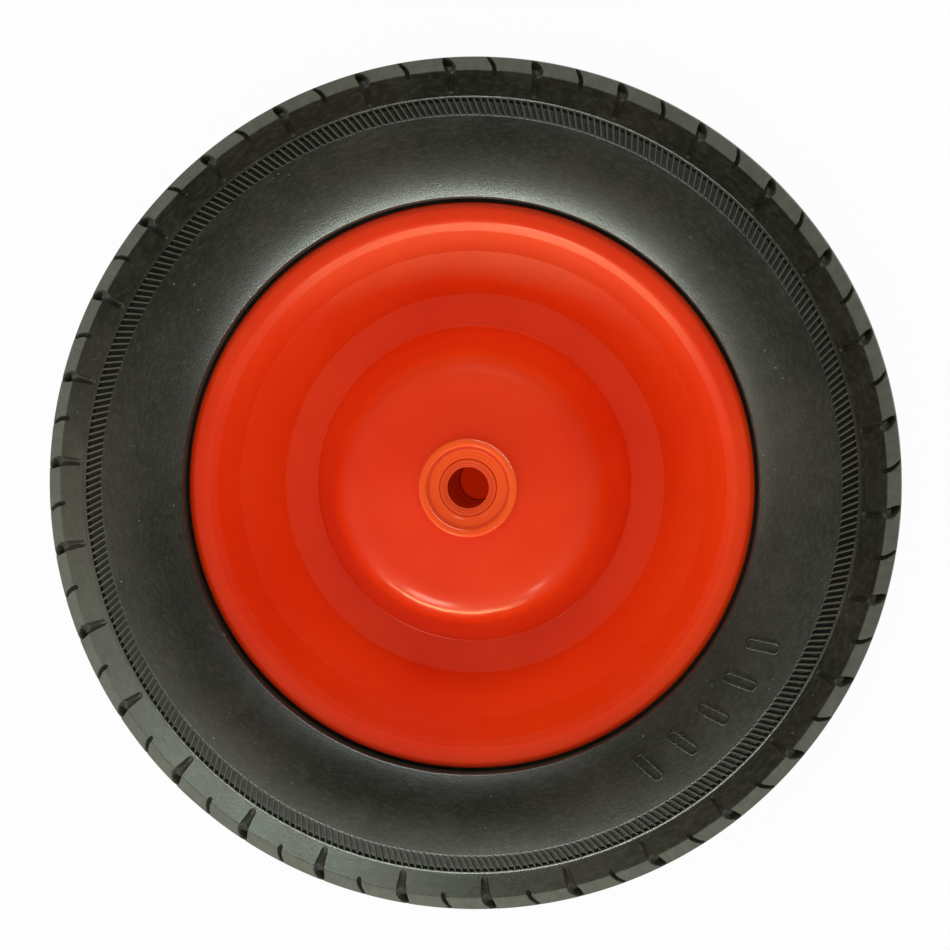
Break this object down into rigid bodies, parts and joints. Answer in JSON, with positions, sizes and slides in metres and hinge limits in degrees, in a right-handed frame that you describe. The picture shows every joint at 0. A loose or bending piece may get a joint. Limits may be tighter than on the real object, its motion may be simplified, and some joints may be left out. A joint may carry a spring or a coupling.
{
  "type": "wheelbarrow wheel",
  "caption": "Wheelbarrow wheel: a solid black foam tyre with a notched block tread on a dished orange pressed steel rim, with sealed ball bearings in its hub.",
  "frame": {"origin": "middle of the hub on the axle's line, half way between the two sides", "axes": "+Z along the axle towards the front side, +X to the right and +Y up in a view of the front"},
  "size_m": [0.36, 0.36, 0.088],
  "materials": {
    "tyre_foam": "satin moulded skin",
    "orange_paint": "gloss powder coat",
    "painted_race": "gloss overspray",
    "painted_seal": "satin overspray",
    "bearing_steel": "ground",
    "cage_brass": "pressed",
    "seal_rubber": "matte"
  },
  "bodies": {
    "axle_set": {"front_inner_race": "painted_race", "rear_inner_race": "painted_race", "axle_spacer": "bearing_steel"},
    "wheel": {"tyre": "tyre_foam", "front_rim_half": "orange_paint", "rear_rim_half": "orange_paint", "hub_tube": "orange_paint", "front_outer_race": "bearing_steel", "front_outside_seal": "painted_seal", "front_inside_seal": "seal_rubber", "rear_outer_race": "bearing_steel", "rear_outside_seal": "painted_seal", "rear_inside_seal": "seal_rubber"},
    "front_ball_set": {"front_ball_cage": "cage_brass", "front_ball_1": "bearing_steel", "front_ball_2": "bearing_steel", "front_ball_3": "bearing_steel", "front_ball_4": "bearing_steel", "front_ball_5": "bearing_steel", "front_ball_6": "bearing_steel", "front_ball_7": "bearing_steel", "front_ball_8": "bearing_steel", "front_ball_9": "bearing_steel", "front_ball_10": "bearing_steel"},
    "rear_ball_set": {"rear_ball_cage": "cage_brass", "rear_ball_1": "bearing_steel", "rear_ball_2": "bearing_steel", "rear_ball_3": "bearing_steel", "rear_ball_4": "bearing_steel", "rear_ball_5": "bearing_steel", "rear_ball_6": "bearing_steel", "rear_ball_7": "bearing_steel", "rear_ball_8": "bearing_steel", "rear_ball_9": "bearing_steel", "rear_ball_10": "bearing_steel"}
  },
  "joints": [
    {"name": "wheel_spin", "type": "hinge", "parent": "axle_set", "child": "wheel", "pos_m": [0, 0, 0], "axis": [0, 0, 1], "continuous": true},
    {"name": "front_ball_orbit", "type": "hinge", "parent": "axle_set", "child": "front_ball_set", "pos_m": [0, 0, 0.035], "axis": [0, 0, 1], "continuous": true},
    {"name": "rear_ball_orbit", "type": "hinge", "parent": "axle_set", "child": "rear_ball_set", "pos_m": [0, 0, -0.035], "axis": [0, 0, 1], "continuous": true}
  ],
  "couplings": [
    {"joint": "front_ball_orbit", "follows": "wheel_spin", "ratio": 0.5916},
    {"joint": "rear_ball_orbit", "follows": "wheel_spin", "ratio": 0.5916}
  ]
}
